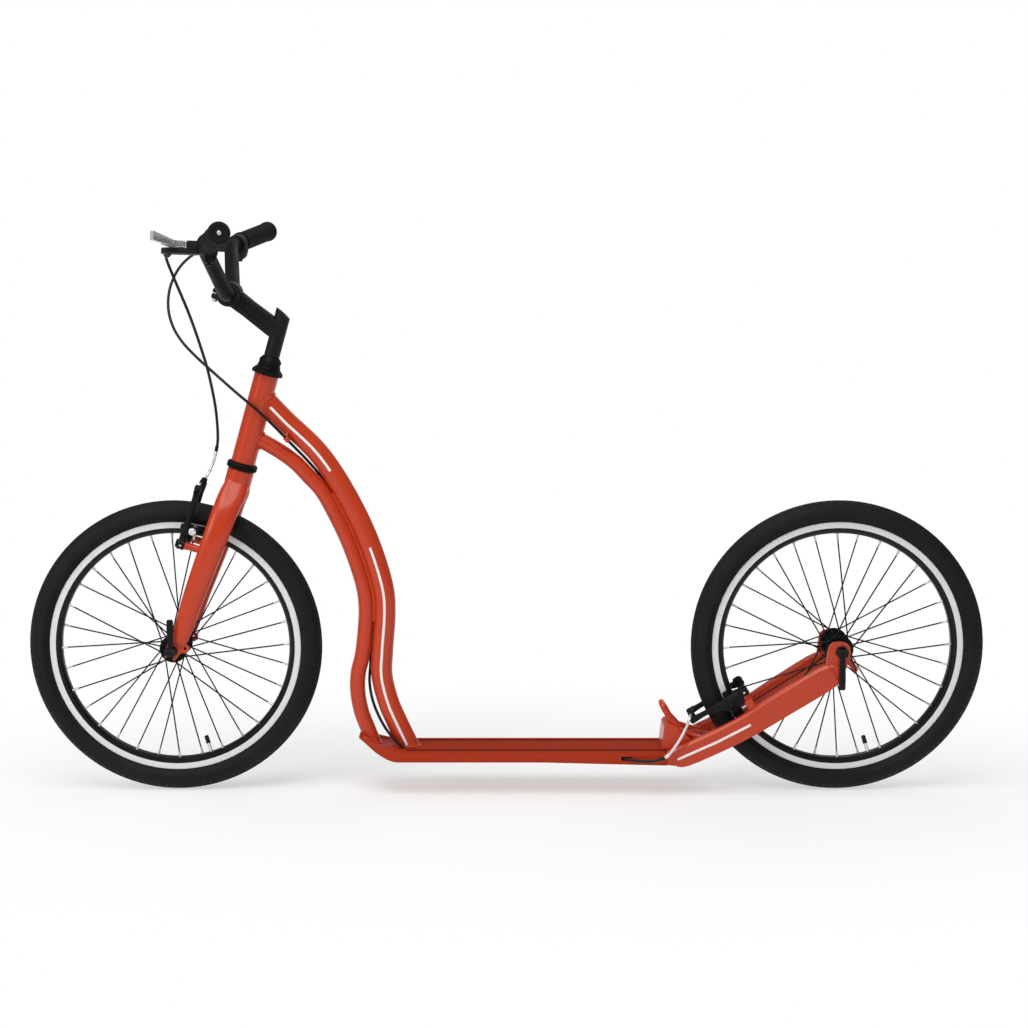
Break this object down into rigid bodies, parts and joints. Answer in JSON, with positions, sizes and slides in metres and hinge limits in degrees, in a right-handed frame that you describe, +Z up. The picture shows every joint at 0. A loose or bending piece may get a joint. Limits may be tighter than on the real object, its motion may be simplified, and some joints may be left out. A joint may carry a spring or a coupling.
{
  "type": "kick bike",
  "caption": "Kick bike with a low footboard between two spoked wheels, a riser handlebar on a quill stem, rim brakes with levers, and a bent-tube frame.",
  "frame": {"origin": "on the ground, midway between the two tyres' lowest points, in the bike's middle plane", "axes": "+X from the front wheel to the rear wheel, so the bike rides towards -X; +Y towards the rider's right; +Z up"},
  "size_m": [1.598, 0.6842, 0.9504],
  "materials": {
    "frame_paint": "gloss red paint",
    "black_metal": "satin black anodised",
    "bare_metal": "brushed bare metal",
    "steel_parts": "zinc plated",
    "spoke_steel": "black coated",
    "tyre_rubber": "matte black",
    "grip_rubber": "matte black",
    "housing_plastic": "black cable housing",
    "bracket_plastic": "black moulding"
  },
  "bodies": {
    "frame": {"head_tube": "frame_paint", "upper_headset_cup": "black_metal", "lower_headset_cup": "black_metal", "upper_main_tube": "frame_paint", "lower_main_tube": "frame_paint", "rear_cable_clip": "frame_paint", "footboard": "frame_paint", "left_rear_stay": "frame_paint", "right_rear_stay": "frame_paint", "heel_guard": "frame_paint", "rear_brake_cable": "housing_plastic", "rear_axle": "steel_parts", "rear_skewer": "black_metal"},
    "fork": {"fork_steerer": "frame_paint", "left_fork_leg": "frame_paint", "right_fork_leg": "frame_paint", "crown_race": "black_metal", "headset_top_race": "black_metal", "headset_locknut": "black_metal", "quill_stem": "black_metal", "stem_wedge": "steel_parts", "stem_expander_bolt": "steel_parts", "bar_clamp_bolt": "steel_parts", "handlebar": "black_metal", "left_grip": "grip_rubber", "right_grip": "grip_rubber", "left_lever_bracket": "bracket_plastic", "right_lever_bracket": "bracket_plastic", "front_brake_cable": "housing_plastic", "rear_cable_loop": "housing_plastic", "front_axle": "steel_parts", "front_skewer": "black_metal"},
    "front_wheel": {"front_tyre": "tyre_rubber", "front_inner_tube": "grip_rubber", "front_rim": "black_metal", "front_left_spokes": "spoke_steel", "front_right_spokes": "spoke_steel", "front_hub": "black_metal"},
    "rear_wheel": {"rear_tyre": "tyre_rubber", "rear_inner_tube": "grip_rubber", "rear_rim": "black_metal", "rear_left_spokes": "spoke_steel", "rear_right_spokes": "spoke_steel", "rear_hub": "black_metal"},
    "front_quick_lever_body": {"front_quick_lever": "black_metal"},
    "rear_quick_lever_body": {"rear_quick_lever": "black_metal"},
    "left_lever_body": {"left_brake_lever": "bare_metal"},
    "right_lever_body": {"right_brake_lever": "bare_metal"},
    "front_left_arm": {"front_left_brake_arm": "black_metal", "front_left_brake_pad": "grip_rubber"},
    "front_right_arm": {"front_right_brake_arm": "black_metal", "front_right_brake_pad": "grip_rubber", "front_brake_noodle": "bare_metal"},
    "rear_left_arm": {"rear_left_brake_arm": "black_metal", "rear_left_brake_pad": "grip_rubber", "rear_brake_noodle": "bare_metal"},
    "rear_right_arm": {"rear_right_brake_arm": "black_metal", "rear_right_brake_pad": "grip_rubber"}
  },
  "joints": [
    {"name": "steering", "type": "hinge", "parent": "frame", "child": "fork", "pos_m": [-0.43716, 0, 0.55323], "axis": [0.2723, 0, 0.9622], "range_deg": [-70, 70], "deforming": ["rear_cable_loop"]},
    {"name": "front_wheel_spin", "type": "hinge", "parent": "fork", "child": "front_wheel", "pos_m": [-0.554, 0, 0.245], "axis": [0, 1, 0], "continuous": true},
    {"name": "rear_wheel_spin", "type": "hinge", "parent": "frame", "child": "rear_wheel", "pos_m": [0.554, 0, 0.245], "axis": [0, 1, 0], "continuous": true},
    {"name": "front_quick_lever_turn", "type": "hinge", "parent": "fork", "child": "front_quick_lever_body", "pos_m": [-0.554, -0.0674, 0.245], "axis": [1, 0, 0], "range_deg": [0, 175]},
    {"name": "rear_quick_lever_turn", "type": "hinge", "parent": "frame", "child": "rear_quick_lever_body", "pos_m": [0.554, -0.0724, 0.245], "axis": [-1, 0, 0], "range_deg": [0, 175]},
    {"name": "left_brake_lever_pull", "type": "hinge", "parent": "fork", "child": "left_lever_body", "pos_m": [-0.5023, -0.2123, 0.91477], "axis": [0, 0.1452, 0.9894], "range_deg": [0, 20], "stiffness_Nm_per_rad": 0.6, "springref_deg": -20.05},
    {"name": "right_brake_lever_pull", "type": "hinge", "parent": "fork", "child": "right_lever_body", "pos_m": [-0.5023, 0.2123, 0.91477], "axis": [0, 0.1452, -0.9894], "range_deg": [0, 20], "stiffness_Nm_per_rad": 0.6, "springref_deg": -20.05},
    {"name": "front_left_arm_swing", "type": "hinge", "parent": "fork", "child": "front_left_arm", "pos_m": [-0.53695, -0.04, 0.42208], "axis": [-0.9548, 0, 0.2974], "range_deg": [0, 2.2]},
    {"name": "front_right_arm_swing", "type": "hinge", "parent": "fork", "child": "front_right_arm", "pos_m": [-0.53695, 0.04, 0.42208], "axis": [0.9548, 0, -0.2974], "range_deg": [0, 2.2], "deforming": ["front_brake_cable"]},
    {"name": "rear_left_arm_swing", "type": "hinge", "parent": "frame", "child": "rear_left_arm", "pos_m": [0.39405, -0.04, 0.17352], "axis": [0.512, 0, -0.859], "range_deg": [0, 2.2], "deforming": ["rear_brake_cable"]},
    {"name": "rear_right_arm_swing", "type": "hinge", "parent": "frame", "child": "rear_right_arm", "pos_m": [0.39405, 0.04, 0.17352], "axis": [-0.512, 0, 0.859], "range_deg": [0, 2.2]}
  ],
  "couplings": [
    {"joint": "front_left_arm_swing", "follows": "left_brake_lever_pull", "ratio": 0.11},
    {"joint": "front_right_arm_swing", "follows": "left_brake_lever_pull", "ratio": 0.11},
    {"joint": "rear_left_arm_swing", "follows": "right_brake_lever_pull", "ratio": 0.11},
    {"joint": "rear_right_arm_swing", "follows": "right_brake_lever_pull", "ratio": 0.11}
  ]
}
